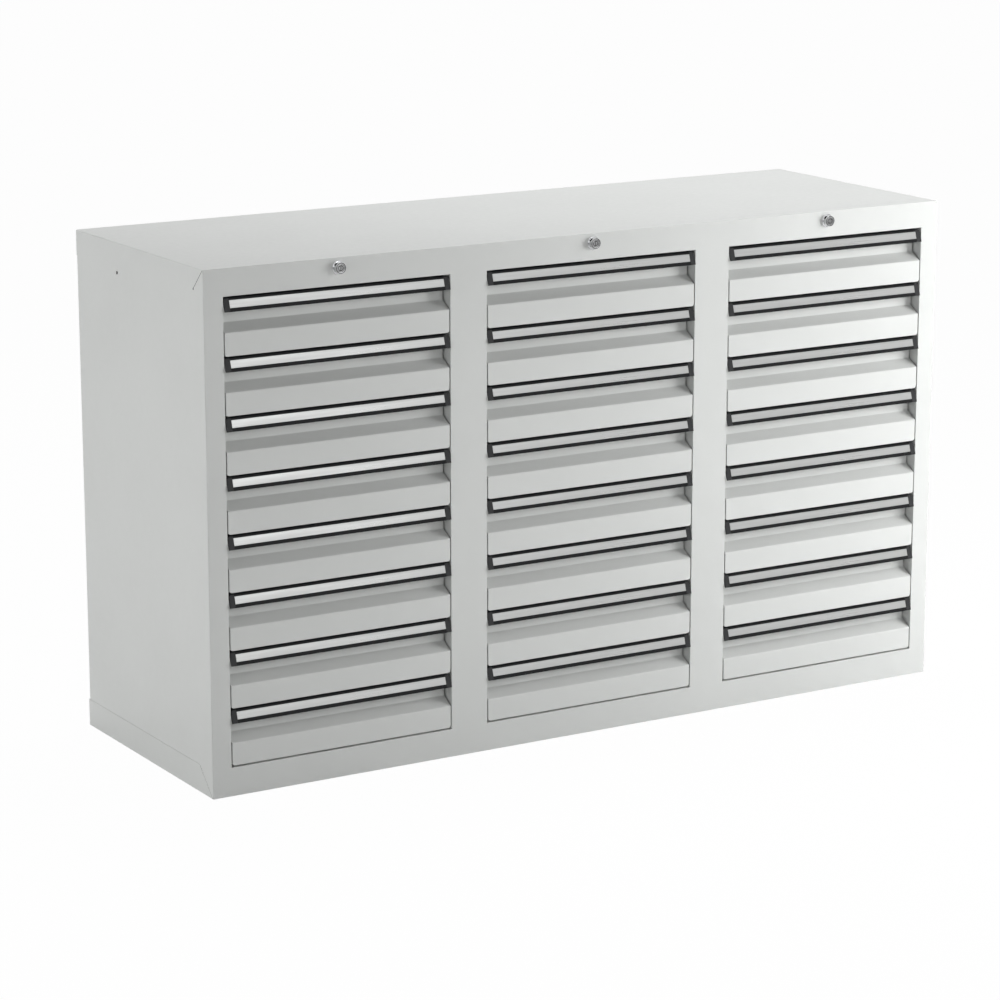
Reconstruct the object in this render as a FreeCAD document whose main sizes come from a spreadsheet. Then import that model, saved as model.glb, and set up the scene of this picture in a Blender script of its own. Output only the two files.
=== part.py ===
import FreeCAD, Part
import os
import re

import Sketcher

# A steel drawer cabinet: three columns of eight shallow drawers in one welded carcass.
# Millimetres, +Z up, X along the front, the front faces -Y, the floor is Z = 0.
# The origin is under the middle of the whole cabinet, lock cylinders included.
# Pieces are drawn from the plane of the front frame (Y = 0 there) and each node is moved
# back as a whole, so a depth in a formula is a distance behind the front frame.

COLUMNS = 3
ROWS = 8
GUIDES = 3

# Driving dimensions
SIZES = (
    # Carcass
    ("cabinet_depth", 500),
    ("side_margin", 36),
    ("opening_width", 428),
    ("mullion_width", 72),
    ("base_rail", 50),
    ("top_rail", 47),
    ("row_pitch", 100),
    ("shell_sheet", 1.2),
    ("opening_flange", 25),
    ("base_lip", 25),
    ("rear_band", 45),
    ("rear_setback", 4),
    ("rear_flange", 20),
    ("side_hole_radius", 3.2),
    ("side_hole_depth", 332),
    ("side_hole_drop", 52),
    ("seam_gap", 0.3),
    ("overrun", 5),
    # Back panel with the lock bars' guides and the shafts' brackets
    ("back_sheet", 1),
    ("back_tuck", 20),
    ("guide_height", 20),
    ("guide_rise", 75),
    ("guide_wall", 1.5),
    ("guide_play", 0.4),
    ("bracket_half_width", 26),
    ("bracket_drop", 18),
    ("bracket_rise", 11),
    ("bracket_room", 6),
    # Drawer front
    ("drawer_gap", 3),
    ("side_gap", 2),
    ("front_sheet", 1),
    ("front_flat", 39.5),
    ("recess_start", 53.4),
    ("recess_depth", 23),
    ("front_return", 12),
    ("ledge_drop", 4),
    ("ledge_front", 8),
    # Tray
    ("tray_sheet", 1),
    ("slide_space", 13),
    ("tray_floor", 6),
    ("tray_drop", 13),
    ("tray_lip", 8),
    # Handle strip with its label
    ("handle_height", 22.7),
    ("lip_reach", 4),
    ("face_tilt", 17),
    ("face_wall", 2.6),
    ("rim_width", 3.5),
    ("rim_drop", 1.5),
    ("label_start", 6.6),
    ("label_width", 13.2),
    ("label_sheet", 0.7),
    ("label_sink", 0.3),
    ("label_play", 0.1),
    ("cap_width", 10),
    ("cap_over", 0.5),
    ("clip_reach", 6),
    ("clip_wall", 1.8),
    ("clip_play", 0.1),
    # Slides
    ("rail_sheet", 1.2),
    ("rail_bottom", 8),
    ("rail_height", 26),
    ("rail_flange", 9.5),
    ("rail_front", 28),
    ("rail_room", 18),
    ("roll_play", 0.3),
    ("front_roller_radius", 8.5),
    ("front_roller_depth", 42),
    ("rear_roller_inset", 12),
    ("roller_width", 7),
    ("stub_radius", 3),
    ("stub_gap", 1),
    ("runner_height", 16),
    ("runner_front", 36),
    # Lock cylinders
    ("lock_drop", 17),
    ("lock_reach", 9),
    ("lock_radius", 10),
    ("rose_radius", 12),
    ("rose_sheet", 1.5),
    ("thread_radius", 9),
    ("thread_length", 20),
    ("thread_play", 0.2),
    ("nut_radius", 13),
    ("nut_sheet", 4),
    ("plug_radius", 6.5),
    ("plug_play", 0.05),
    ("plug_sink", 0.5),
    ("plug_tail", 4),
    ("key_length", 7),
    ("key_width", 1.4),
    ("key_depth", 5),
    ("shaft_radius", 3),
    ("shaft_play", 0.2),
    ("crank_arm", 12),
    ("crank_margin", 4),
    ("crank_sheet", 4),
    ("pin_radius", 2.5),
    ("pin_proud", 1),
    # Lock bars and the drawers' catches
    ("bar_width", 25),
    ("bar_sheet", 3),
    ("bar_clearance", 4),
    ("bar_foot", 6),
    ("slot_play", 0.3),
    ("slack_share", 0.22),
    ("head_margin", 4),
    ("hook_width", 16),
    ("hook_sheet", 3),
    ("hook_reach", 22),
    ("hook_gap", 7),
    ("catch_width", 28),
    ("catch_sheet", 1.2),
    ("catch_reach", 15),
    ("catch_height", 60),
    ("catch_drop", 13),
    ("catch_flange", 12),
    ("catch_lift", 2),
)

# Sizes that follow from the driving ones
DERIVED = (
    ("column_pitch", "opening_width + mullion_width"),
    ("cabinet_width", f"2 * side_margin + {COLUMNS} * opening_width + {COLUMNS - 1} * mullion_width"),
    ("opening_height", f"{ROWS} * row_pitch + drawer_gap"),
    ("cabinet_height", "base_rail + opening_height + top_rail"),
    ("half_width", "cabinet_width / 2"),
    ("half_opening", "opening_width / 2"),
    ("half_mullion", "mullion_width / 2"),
    ("inner_half_width", "half_width - shell_sheet"),
    ("inner_top", "cabinet_height - shell_sheet"),
    ("front_shift", "-(cabinet_depth - lock_reach) / 2"),
    ("base_top", "base_rail - shell_sheet"),
    ("opening_top", "base_rail + opening_height"),
    ("mitre_top", "cabinet_height - base_top"),
    ("side_rear", "cabinet_depth - rear_setback"),
    ("band_bottom", "cabinet_height - rear_band"),
    ("upright_front", "opening_flange + seam_gap"),
    ("first_row", "base_rail + drawer_gap"),
    # Lock bar, which sets where the drawers end
    ("bar_rear", "side_rear - bar_clearance"),
    ("bar_front", "bar_rear - bar_sheet"),
    ("hook_front", "bar_front - hook_reach"),
    # Drawer
    ("front_height", "row_pitch - drawer_gap"),
    ("half_front", "half_opening - side_gap"),
    ("bend_turn", "atan(recess_depth / (recess_start - front_flat))"),
    ("bend_back", "front_sheet * tan(bend_turn / 2)"),
    ("ledge_top", "front_height - ledge_drop"),
    ("ledge_under", "ledge_top - front_sheet"),
    ("half_tray", "half_opening - slide_space"),
    ("tray_front", "recess_depth + front_sheet"),
    ("tray_rear", "hook_front - hook_gap"),
    ("tray_top", "front_height - tray_drop"),
    ("lip_bottom", "front_height - handle_height"),
    ("face_run", "handle_height / cos(face_tilt)"),
    ("rim_rear", "-lip_reach + handle_height * tan(face_tilt) + rim_width"),
    ("clip_bottom", "ledge_under - clip_play - clip_wall"),
    ("cap_end", "half_front + cap_over"),
    ("strip_half", "cap_end - cap_width"),
    # Slides
    ("rail_inner", "half_opening - rail_flange"),
    ("rail_rear", "side_rear - rail_room"),
    ("rail_web", "half_opening - rail_sheet"),
    ("rail_top", "rail_bottom + rail_height"),
    ("channel_floor", "rail_bottom + rail_sheet"),
    ("channel_roof", "rail_top - rail_sheet"),
    ("rear_roller_radius", "(channel_roof - channel_floor) / 2 - roll_play"),
    ("rear_roller_height", "(channel_roof + channel_floor) / 2"),
    ("rear_roller_depth", "tray_rear - rear_roller_inset"),
    ("front_roller_height", "channel_floor + roll_play + front_roller_radius"),
    ("runner_under", "front_roller_height + front_roller_radius + roll_play"),
    ("runner_top", "runner_under + rail_sheet"),
    ("runner_web", "half_tray + rail_sheet"),
    # Lock
    ("lock_height", "cabinet_height - lock_drop"),
    ("crank_rear", "bar_front - slot_play"),
    ("crank_front", "crank_rear - crank_sheet"),
    ("bracket_rear", "crank_front - bracket_room"),
    ("pin_height", "lock_height - crank_arm"),
    ("plug_rear", "thread_length + plug_tail"),
    ("slot_left", "-crank_arm - pin_radius - slot_play"),
    ("slot_right", "pin_radius + slot_play"),
    ("slot_bottom", "pin_height - pin_radius - slack_share * crank_arm - slot_play"),
    ("slot_top", "pin_height + pin_radius + slot_play"),
    ("catch_tip", "catch_height - catch_drop"),
    ("hook_top", "catch_tip - catch_lift"),
    ("hook_base", "hook_top - crank_arm"),
)

NAMES = {alias for alias, size in SIZES + DERIVED}
X_AXIS = FreeCAD.Vector(1, 0, 0)
Y_AXIS = FreeCAD.Vector(0, 1, 0)
QUARTER_TURN = 90
TURNS = {
    "X": FreeCAD.Rotation(Y_AXIS, QUARTER_TURN),
    "Y": FreeCAD.Rotation(X_AXIS, -QUARTER_TURN),
}

doc = FreeCAD.newDocument("drawer_cabinet")
sheet = doc.addObject("Spreadsheet::Sheet", "Sizes")
nodes = []


def fill_sheet():
    """Puts the driving dimensions in columns A and B and the derived ones in D and E."""
    for row, (alias, size) in enumerate(SIZES, start=1):
        sheet.set(f"A{row}", alias)
        sheet.set(f"B{row}", str(size))
        sheet.setAlias(f"B{row}", alias)
    for row, (alias, formula) in enumerate(DERIVED, start=1):
        sheet.set(f"D{row}", alias)
        sheet.set(f"E{row}", f"={formula}")
        sheet.setAlias(f"E{row}", alias)
    doc.recompute()


def value(formula):
    """The number that a formula of the sheet's sizes gives now."""
    return float(sheet.evalExpression(formula))


def linked(formula):
    """The formula with each size's name turned into a reference to its cell."""
    return re.sub("[a-z_]+", lambda word: f"Sizes.{word[0]}" if word[0] in NAMES else word[0], formula)


def bind(piece, **formulas):
    """Binds properties to formulas; x, y and z are the piece's own place."""
    for name, formula in formulas.items():
        path = f"Placement.Base.{name}" if name in ("x", "y", "z") else name
        piece.setExpression(path, linked(formula))


def block(name, x, y, z):
    """A box between three pairs of bounds."""
    box = doc.addObject("Part::Box", name)
    bind(box, Length=f"({x[1]}) - ({x[0]})", Width=f"({y[1]}) - ({y[0]})", Height=f"({z[1]}) - ({z[0]})")
    bind(box, x=x[0], y=y[0], z=z[0])
    return box


def both_ways(size):
    """A pair of bounds at equal distances from the middle."""
    return f"-({size})", size


def rod(name, axis, centre, radius, low, high):
    """A cylinder along an axis between two bounds; centre holds its other two places in order."""
    cylinder = doc.addObject("Part::Cylinder", name)
    cylinder.Placement = FreeCAD.Placement(FreeCAD.Vector(), TURNS[axis])
    places = list(centre)
    places.insert("XYZ".index(axis), low)
    bind(cylinder, Radius=radius, Height=f"({high}) - ({low})")
    bind(cylinder, x=places[0], y=places[1], z=places[2])
    return cylinder


def cut(name, base, *tools):
    """The base without the tools, which lie apart from one another."""
    result = doc.addObject("Part::Cut", name)
    result.Base = base
    result.Tool = tools[0] if len(tools) == 1 else group(f"{name}_tools", *tools)
    result.Refine = True
    return result


def fuse(name, *pieces):
    result = doc.addObject("Part::MultiFuse", name)
    result.Shapes = list(pieces)
    result.Refine = True
    return result


def group(name, *pieces, x="0", y="0", z="0"):
    """The pieces kept as separate solids, moved together to a place."""
    result = doc.addObject("Part::Compound", name)
    result.Links = list(pieces)
    bind(result, x=x, y=y, z=z)
    return result


def mirrored(name, piece):
    """The piece on the other side of the middle plane X = 0."""
    result = doc.addObject("Part::Mirroring", name)
    result.Source = piece
    result.Normal = X_AXIS
    return result


def draw(sketch, points):
    """A closed outline of straight lines, each corner held by its two formulas."""
    corners = [FreeCAD.Vector(value(across), value(up), 0) for across, up in points]
    for start, end in zip(corners, corners[1:] + corners[:1]):
        sketch.addGeometry(Part.LineSegment(start, end), False)
    for index, (across, up) in enumerate(points):
        before = (index - 1) % len(points)
        sketch.addConstraint(Sketcher.Constraint("Coincident", before, 2, index, 1))
        for kind, formula in (("DistanceX", across), ("DistanceY", up)):
            held = sketch.addConstraint(Sketcher.Constraint(kind, -1, 1, index, 1, value(formula)))
            sketch.renameConstraint(held, f"{kind}_{index}")
            sketch.setExpression(f"Constraints.{kind}_{index}", linked(formula))


def pushed(name, points, x):
    """A body made from a section in the YZ plane, padded along X between two bounds."""
    body = doc.addObject("PartDesign::Body", name)
    plane = next(item for item in body.Origin.OriginFeatures if item.Role == "YZ_Plane")
    sketch = body.newObject("Sketcher::SketchObject", f"{name}_section")
    sketch.AttachmentSupport = [(plane, "")]
    sketch.MapMode = "FlatFace"
    sketch.setExpression("AttachmentOffset.Base.z", linked(x[0]))
    draw(sketch, points)
    pad = body.newObject("PartDesign::Pad", f"{name}_pad")
    pad.Profile = (sketch, [""])
    bind(pad, Length=f"({x[1]}) - ({x[0]})")
    return body


def node(label, *pieces, x="0", z="0"):
    """A named part of the cabinet: its solids, moved back from the front frame's plane."""
    result = group(label, *pieces, x=x, y="front_shift", z=z)
    result.Label = label
    nodes.append(result)


def column_centre(column):
    return f"{column - (COLUMNS - 1) / 2} * column_pitch"


def row_height(row):
    return f"first_row + {row} * row_pitch"


# Front frame

def side_returns():
    """The front frame's edges, folded back along each side and mitred at top and bottom."""
    corners = (
        ("shell_sheet", "shell_sheet"),
        ("base_top", "base_top"),
        ("base_top", "mitre_top"),
        ("shell_sheet", "inner_top"),
    )
    left = pushed("left_return", corners, ("-half_width", "-inner_half_width"))
    right = pushed("right_return", corners, ("inner_half_width", "half_width"))
    return left, right


def lock_housing():
    """The fixed shell of one lock cylinder, with its hexagonal nut behind the front frame."""
    centre = ("0", "lock_height")
    rose = rod("lock_rose", "Y", centre, "rose_radius", "-rose_sheet", "0")
    collar = rod("lock_collar", "Y", centre, "lock_radius", "-lock_reach", "-rose_sheet")
    thread = rod("lock_thread", "Y", centre, "thread_radius", "0", "thread_length")
    bore = rod("lock_bore", "Y", centre, "plug_radius + plug_play", "-lock_reach - overrun",
               "thread_length + overrun")
    housing = cut("lock_housing", fuse("lock_housing_blank", rose, collar, thread), bore)
    blank = doc.addObject("Part::Prism", "nut_blank")
    blank.Placement = FreeCAD.Placement(FreeCAD.Vector(), TURNS["Y"])
    bind(blank, Circumradius="nut_radius", Height="nut_sheet", y="shell_sheet", z="lock_height")
    nut_bore = rod("nut_bore", "Y", centre, "thread_radius + plug_play", "0", "thread_length")
    return housing, cut("lock_nut", blank, nut_bore)


def front_frame(returns):
    """The pierced front sheet with flanges folded back round the three openings."""
    sheet_blank = block("front_blank", both_ways("half_width"), ("0", "shell_sheet"), ("0", "cabinet_height"))
    rims = []
    holes = []
    locks = []
    housing = lock_housing()
    for column in range(COLUMNS):
        centre = column_centre(column)
        rims.append(block(
            f"opening_rim_{column}",
            (f"{centre} - half_opening - shell_sheet", f"{centre} + half_opening + shell_sheet"),
            ("0", "opening_flange"),
            ("base_top", "opening_top + shell_sheet"),
        ))
        holes.append(block(
            f"opening_hole_{column}",
            (f"{centre} - half_opening", f"{centre} + half_opening"),
            ("-overrun", "opening_flange + overrun"),
            ("base_rail", "opening_top"),
        ))
        holes.append(rod(f"lock_hole_{column}", "Y", (centre, "lock_height"), "thread_radius + thread_play",
                         "-overrun", "shell_sheet + overrun"))
        locks.append(group(f"lock_housing_{column}", *housing, x=centre))
    frame = cut("front_sheet_metal", fuse("front_folded", sheet_blank, *rims, *returns), *holes)
    node("front_frame", frame, *locks)


# Outer shell

def body_wrapper(returns):
    """The top and both sides folded from one sheet, with a rear skirt and rear side flanges."""
    outer = block("wrapper_outer", both_ways("half_width"), ("shell_sheet", "cabinet_depth"),
                  ("base_top", "cabinet_height"))
    inner = block("wrapper_inner", both_ways("inner_half_width"), ("0", "cabinet_depth - shell_sheet"),
                  ("0", "inner_top"))
    behind = block("wrapper_behind", both_ways("half_width + overrun"),
                   ("side_rear", "cabinet_depth + overrun"), ("0", "band_bottom"))
    side_holes = rod("side_holes", "X", ("side_hole_depth", "cabinet_height - side_hole_drop"),
                     "side_hole_radius", "-half_width - overrun", "half_width + overrun")
    shell = cut("wrapper_shell", outer, inner)
    trimmed = cut("wrapper_trimmed", shell, behind, side_holes, *returns)
    flange = block("rear_flange_right", ("half_width - rear_flange", "inner_half_width"),
                   ("side_rear - shell_sheet", "side_rear"), ("base_top", "band_bottom"))
    node("body_wrapper", fuse("wrapper", trimmed, flange, mirrored("rear_flange_left", flange)))


def base_pan(returns):
    """The plinth: a floor for the cabinet's inside with a band round it and a lip on the ground."""
    outer = block("base_outer", both_ways("half_width"), ("shell_sheet", "cabinet_depth"), ("0", "base_top"))
    inner = block("base_inner", both_ways("inner_half_width"), ("0", "cabinet_depth - shell_sheet"),
                  ("shell_sheet", "base_top - shell_sheet"))
    window = block("base_window", both_ways("half_width - base_lip"),
                   ("base_lip", "cabinet_depth - base_lip"), ("-overrun", "shell_sheet"))
    pan = cut("base_shell", outer, inner)
    node("base_pan", cut("base", pan, window, *returns))


def uprights():
    """Two boxed partitions under the mullions and a liner inside each side."""
    depth = ("upright_front", "side_rear")
    height = ("base_top", "inner_top")
    through = ("base_top - overrun", "inner_top + overrun")
    post = cut(
        "partition",
        block("partition_outer", both_ways("half_mullion"), depth, height),
        block("partition_inner", both_ways("half_mullion - shell_sheet"),
              ("upright_front + shell_sheet", "side_rear - shell_sheet"), through),
    )
    liner = cut(
        "right_liner",
        block("liner_outer", ("half_width - side_margin", "inner_half_width"),
              ("upright_front", "side_rear - shell_sheet"), height),
        block("liner_inner", ("half_width - side_margin + shell_sheet", "inner_half_width + overrun"),
              ("upright_front + shell_sheet", "side_rear - 2 * shell_sheet"), through),
    )
    posts = [
        group(f"partition_{index}", post, x=f"{column_centre(index)} + column_pitch / 2")
        for index in range(COLUMNS - 1)
    ]
    node("partitions", *posts, liner, mirrored("left_liner", liner))


# Back panel

def bar_guide():
    """A clip that holds a lock bar to the back panel."""
    outer = block("guide_outer", both_ways("bar_width / 2 + guide_play + guide_wall"),
                  ("bar_front - guide_play - guide_wall", "side_rear"), both_ways("guide_height / 2"))
    inner = block("guide_inner", both_ways("bar_width / 2 + guide_play"),
                  ("bar_front - guide_play", "side_rear + overrun"), both_ways("guide_height / 2 + overrun"))
    return cut("bar_guide", outer, inner)


def shaft_bracket():
    """A stirrup on the back panel that carries the rear end of a lock's shaft."""
    height = ("lock_height - bracket_drop", "lock_height + bracket_rise")
    through = ("lock_height - bracket_drop - overrun", "lock_height + bracket_rise + overrun")
    outer = block("bracket_outer", both_ways("bracket_half_width"),
                  ("bracket_rear - guide_wall", "side_rear"), height)
    inner = block("bracket_inner", both_ways("bracket_half_width - guide_wall"),
                  ("bracket_rear", "side_rear + overrun"), through)
    bore = rod("bracket_bore", "Y", ("0", "lock_height"), "shaft_radius + shaft_play",
               "bracket_rear - guide_wall - overrun", "bracket_rear")
    return cut("shaft_bracket", outer, inner, bore)


def back_panel():
    panel = block("back_sheet_metal", both_ways("inner_half_width - seam_gap"),
                  ("side_rear", "side_rear + back_sheet"), ("base_top", "band_bottom + back_tuck"))
    guide = bar_guide()
    bracket = shaft_bracket()
    fittings = []
    for column in range(COLUMNS):
        centre = column_centre(column)
        fittings.append(group(f"shaft_bracket_{column}", bracket, x=centre))
        for index in range(GUIDES):
            row = index * (ROWS - 2) // (GUIDES - 1)
            fittings.append(group(f"bar_guide_{column}_{index}", guide, x=centre,
                                  z=f"{row_height(row)} + guide_rise"))
    node("back_panel", panel, *fittings)


# Slides

def roller(name, low, high, stub_low, stub_high, depth, height, radius):
    """A roller turned in one with the stub that holds it to its rail."""
    wheel = rod(f"{name}_wheel", "X", (depth, height), radius, low, high)
    stub = rod(f"{name}_stub", "X", (depth, height), "stub_radius", stub_low, stub_high)
    return fuse(name, wheel, stub)


def slide_rails():
    """A channel with a roller at its front on each side of each drawer."""
    outer = block("rail_outer", ("rail_inner", "half_opening"),
                  ("rail_front", "rail_rear"), ("rail_bottom", "rail_top"))
    inner = block("rail_hollow", ("rail_inner - overrun", "rail_web"),
                  ("rail_front - overrun", "rail_rear + overrun"),
                  ("channel_floor", "channel_roof"))
    channel = cut("right_channel", outer, inner)
    wheel = roller("right_front_roller", "rail_web - stub_gap - roller_width", "rail_web - stub_gap",
                   "rail_web - stub_gap", "rail_web", "front_roller_depth", "front_roller_height",
                   "front_roller_radius")
    pair = (channel, wheel, mirrored("left_channel", channel), mirrored("left_front_roller", wheel))
    copies = [
        group(f"rails_{column}_{row}", *pair, x=column_centre(column), z=row_height(row))
        for column in range(COLUMNS)
        for row in range(ROWS)
    ]
    node("slide_rails", *copies)


# Drawers

def pressed_front():
    """The drawer's front: a flat band, a slope back to the finger recess and a ledge on top."""
    section = (
        ("0", "0"),
        ("0", "front_flat"),
        ("recess_depth", "recess_start"),
        ("recess_depth", "ledge_under"),
        ("ledge_front", "ledge_under"),
        ("ledge_front", "ledge_top"),
        ("tray_front", "ledge_top"),
        ("tray_front", "recess_start - bend_back"),
        ("front_sheet", "front_flat - bend_back"),
        ("front_sheet", "front_sheet"),
        ("front_return", "front_sheet"),
        ("front_return", "0"),
    )
    skin = pushed("front_skin", section, both_ways("half_front"))
    cheek = block("right_cheek", ("half_front - front_sheet", "half_front"),
                  ("front_sheet", "front_return"), ("front_sheet", "front_flat - bend_back"))
    return fuse("pressed_front", skin, cheek, mirrored("left_cheek", cheek))


def tray():
    """The drawer's box, welded up from a floor, four walls and a lip on each side wall."""
    depth = ("tray_front", "tray_rear")
    height = ("tray_floor + tray_sheet", "tray_top")
    inside = both_ways("half_tray - tray_sheet")
    floor = block("tray_base", both_ways("half_tray"), depth, ("tray_floor", "tray_floor + tray_sheet"))
    front = block("tray_front_wall", inside, ("tray_front", "tray_front + tray_sheet"), height)
    rear = block("tray_rear_wall", inside, ("tray_rear - tray_sheet", "tray_rear"), height)
    wall = block("right_tray_wall", ("half_tray - tray_sheet", "half_tray"), depth, height)
    lip = block("right_tray_lip", ("half_tray", "half_tray + tray_lip"), depth,
                ("tray_top - tray_sheet", "tray_top"))
    side = fuse("right_tray_side", wall, lip)
    return floor, front, rear, side, mirrored("left_tray_side", side)


def runner():
    """The drawer's own slide member on the right, with the roller at its rear."""
    web = block("runner_web_plate", ("half_tray", "runner_web"), ("runner_front", "tray_rear"),
                ("runner_top - runner_height", "runner_top"))
    flange = block("runner_flange", ("runner_web", "rail_web - stub_gap"),
                   ("runner_front", "rear_roller_depth - rear_roller_radius - stub_gap"),
                   ("runner_under", "runner_top"))
    wheel = roller("right_rear_roller", "runner_web + stub_gap", "runner_web + stub_gap + roller_width",
                   "runner_web", "runner_web + stub_gap", "rear_roller_depth", "rear_roller_height",
                   "rear_roller_radius")
    return fuse("right_runner", web, flange), wheel


def catch():
    """The bracket on the drawer's back that the lock bar's hook holds."""
    width = both_ways("catch_width / 2")
    plate = block("catch_plate", width, ("tray_rear", "tray_rear + catch_reach"),
                  ("catch_height", "catch_height + catch_sheet"))
    tip = block("catch_lip", width,
                ("tray_rear + catch_reach - catch_sheet", "tray_rear + catch_reach"),
                ("catch_tip", "catch_height"))
    flange = block("catch_foot", width, ("tray_rear", "tray_rear + catch_sheet"),
                   ("catch_height + catch_sheet", "catch_height + catch_flange"))
    return fuse("catch", plate, tip, flange)


def drawers():
    right_runner, right_roller = runner()
    pieces = (
        pressed_front(),
        *tray(),
        right_runner,
        right_roller,
        mirrored("left_runner", right_runner),
        mirrored("left_rear_roller", right_roller),
        catch(),
    )
    for column in range(COLUMNS):
        for row in range(ROWS):
            node(f"drawer_c{column + 1}_r{row + 1}", *pieces, x=column_centre(column), z=row_height(row))


# Handles

def on_face(run, sink):
    """A point of the handle's section: a run up its tilted face and a depth under that face."""
    return (
        f"-lip_reach + ({run}) * sin(face_tilt) + ({sink}) * cos(face_tilt)",
        f"lip_bottom + ({run}) * cos(face_tilt) - ({sink}) * sin(face_tilt)",
    )


def handle_sections():
    """The sections of the handle's strip, with its label channel, and of its plain end caps."""
    channel_low = "label_start - label_play"
    channel_high = "label_start + label_width + label_play"
    channel_floor = "label_sink + label_sheet"
    channel = (
        on_face(channel_low, "0"),
        on_face(channel_low, channel_floor),
        on_face(channel_high, channel_floor),
        on_face(channel_high, "0"),
    )
    clip_face = "-lip_reach + face_wall / cos(face_tilt) + (clip_bottom - lip_bottom) * tan(face_tilt)"
    grip = (
        ("rim_rear", "front_height"),
        ("rim_rear", "front_height - rim_drop"),
        ("recess_depth", "front_height - rim_drop"),
        ("recess_depth", "ledge_top + clip_play"),
        ("ledge_front - clip_play", "ledge_top + clip_play"),
        ("ledge_front - clip_play", "ledge_under - clip_play"),
        ("ledge_front + clip_reach", "ledge_under - clip_play"),
        ("ledge_front + clip_reach", "clip_bottom"),
        (clip_face, "clip_bottom"),
        ("-lip_reach + face_wall / cos(face_tilt)", "lip_bottom"),
    )
    foot = on_face("0", "0")
    head = on_face("face_run", "0")
    return (foot, *channel, head, *grip), (foot, head, *grip)


def label():
    """The label insert that lies in the strip's channel."""
    high = "label_start + label_width"
    rear = "label_sink + label_sheet"
    corners = (
        on_face("label_start", "label_sink"),
        on_face(high, "label_sink"),
        on_face(high, rear),
        on_face("label_start", rear),
    )
    return pushed("label_insert", corners, both_ways("strip_half - label_play"))


def handles():
    strip_section, cap_section = handle_sections()
    cap = pushed("right_cap", cap_section, ("strip_half", "cap_end"))
    pieces = (
        pushed("handle_strip", strip_section, both_ways("strip_half")),
        label(),
        cap,
        mirrored("left_cap", cap),
    )
    for column in range(COLUMNS):
        for row in range(ROWS):
            node(f"handle_c{column + 1}_r{row + 1}", *pieces, x=column_centre(column), z=row_height(row))


# Locks

def lock_barrels():
    """The part of each lock that the key turns: plug, shaft to the rear and crank."""
    centre = ("0", "lock_height")
    plug_blank = rod("plug_blank", "Y", centre, "plug_radius", "-lock_reach + plug_sink", "plug_rear")
    key_slot = block("key_slot", both_ways("key_width / 2"),
                     ("-lock_reach", "-lock_reach + plug_sink + key_depth"),
                     ("lock_height - key_length / 2", "lock_height + key_length / 2"))
    plug = cut("plug", plug_blank, key_slot)
    shaft = rod("shaft", "Y", centre, "shaft_radius", "plug_rear", "crank_front")
    arm = block("crank_plate", both_ways("shaft_radius + crank_margin"), ("crank_front", "crank_rear"),
                ("pin_height - pin_radius - crank_margin", "lock_height + shaft_radius + crank_margin"))
    pin = rod("crank_pin", "Y", ("0", "pin_height"), "pin_radius", "crank_rear", "bar_rear + pin_proud")
    crank = fuse("crank", arm, pin)
    for column in range(COLUMNS):
        node(f"lock_barrel_{column + 1}", plug, shaft, crank, x=column_centre(column))


def lock_bars():
    """The flat bar behind each column, slotted for the crank's pin, with a hook welded on for each drawer."""
    thickness = ("bar_front", "bar_rear")
    head_bottom = "slot_bottom - head_margin"
    blade = block("bar_blade", both_ways("bar_width / 2"), thickness, ("base_top + bar_foot", head_bottom))
    head = block("bar_head", ("slot_left - head_margin", "slot_right + head_margin"), thickness,
                 (head_bottom, "slot_top + head_margin"))
    slot = block("bar_slot", ("slot_left", "slot_right"), ("bar_front - overrun", "bar_rear + overrun"),
                 ("slot_bottom", "slot_top"))
    pieces = [cut("lock_bar", fuse("bar_blank", blade, head), slot)]
    for row in range(ROWS):
        floor = row_height(row)
        arm = block(f"hook_arm_{row}", both_ways("hook_width / 2"), ("hook_front", "bar_front"),
                    (f"{floor} + hook_base - hook_sheet", f"{floor} + hook_base"))
        finger = block(f"hook_finger_{row}", both_ways("hook_width / 2"),
                       ("hook_front", "hook_front + hook_sheet"),
                       (f"{floor} + hook_base", f"{floor} + hook_top"))
        pieces.append(fuse(f"hook_{row}", arm, finger))
    for column in range(COLUMNS):
        node(f"lock_bar_{column + 1}", *pieces, x=column_centre(column))


def check_document():
    """Stops if any object failed or a node's shape is empty or broken."""
    doc.recompute()
    for item in doc.Objects:
        if {"Invalid", "Error"} & set(item.State):
            raise RuntimeError(f"{item.Name} failed: {item.State}")
    for item in nodes:
        shape = item.Shape
        if shape.isNull() or not shape.isValid() or not shape.Solids:
            raise RuntimeError(f"{item.Label} has no valid solid")
        if min(solid.Volume for solid in shape.Solids) <= 0:
            raise RuntimeError(f"{item.Label} holds a solid turned inside out")


def write_nodes():
    os.makedirs("parts", exist_ok=True)
    for item in nodes:
        item.Shape.exportStep(f"parts/{item.Label}.step")
        print(item.Label, len(item.Shape.Solids), "solids", round(item.Shape.Volume))


fill_sheet()
returns = side_returns()
front_frame(returns)
body_wrapper(returns)
base_pan(returns)
uprights()
back_panel()
slide_rails()
drawers()
handles()
lock_barrels()
lock_bars()
check_document()
write_nodes()
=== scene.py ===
"""The finished look of the steel drawer cabinet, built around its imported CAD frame."""

import math

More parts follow.
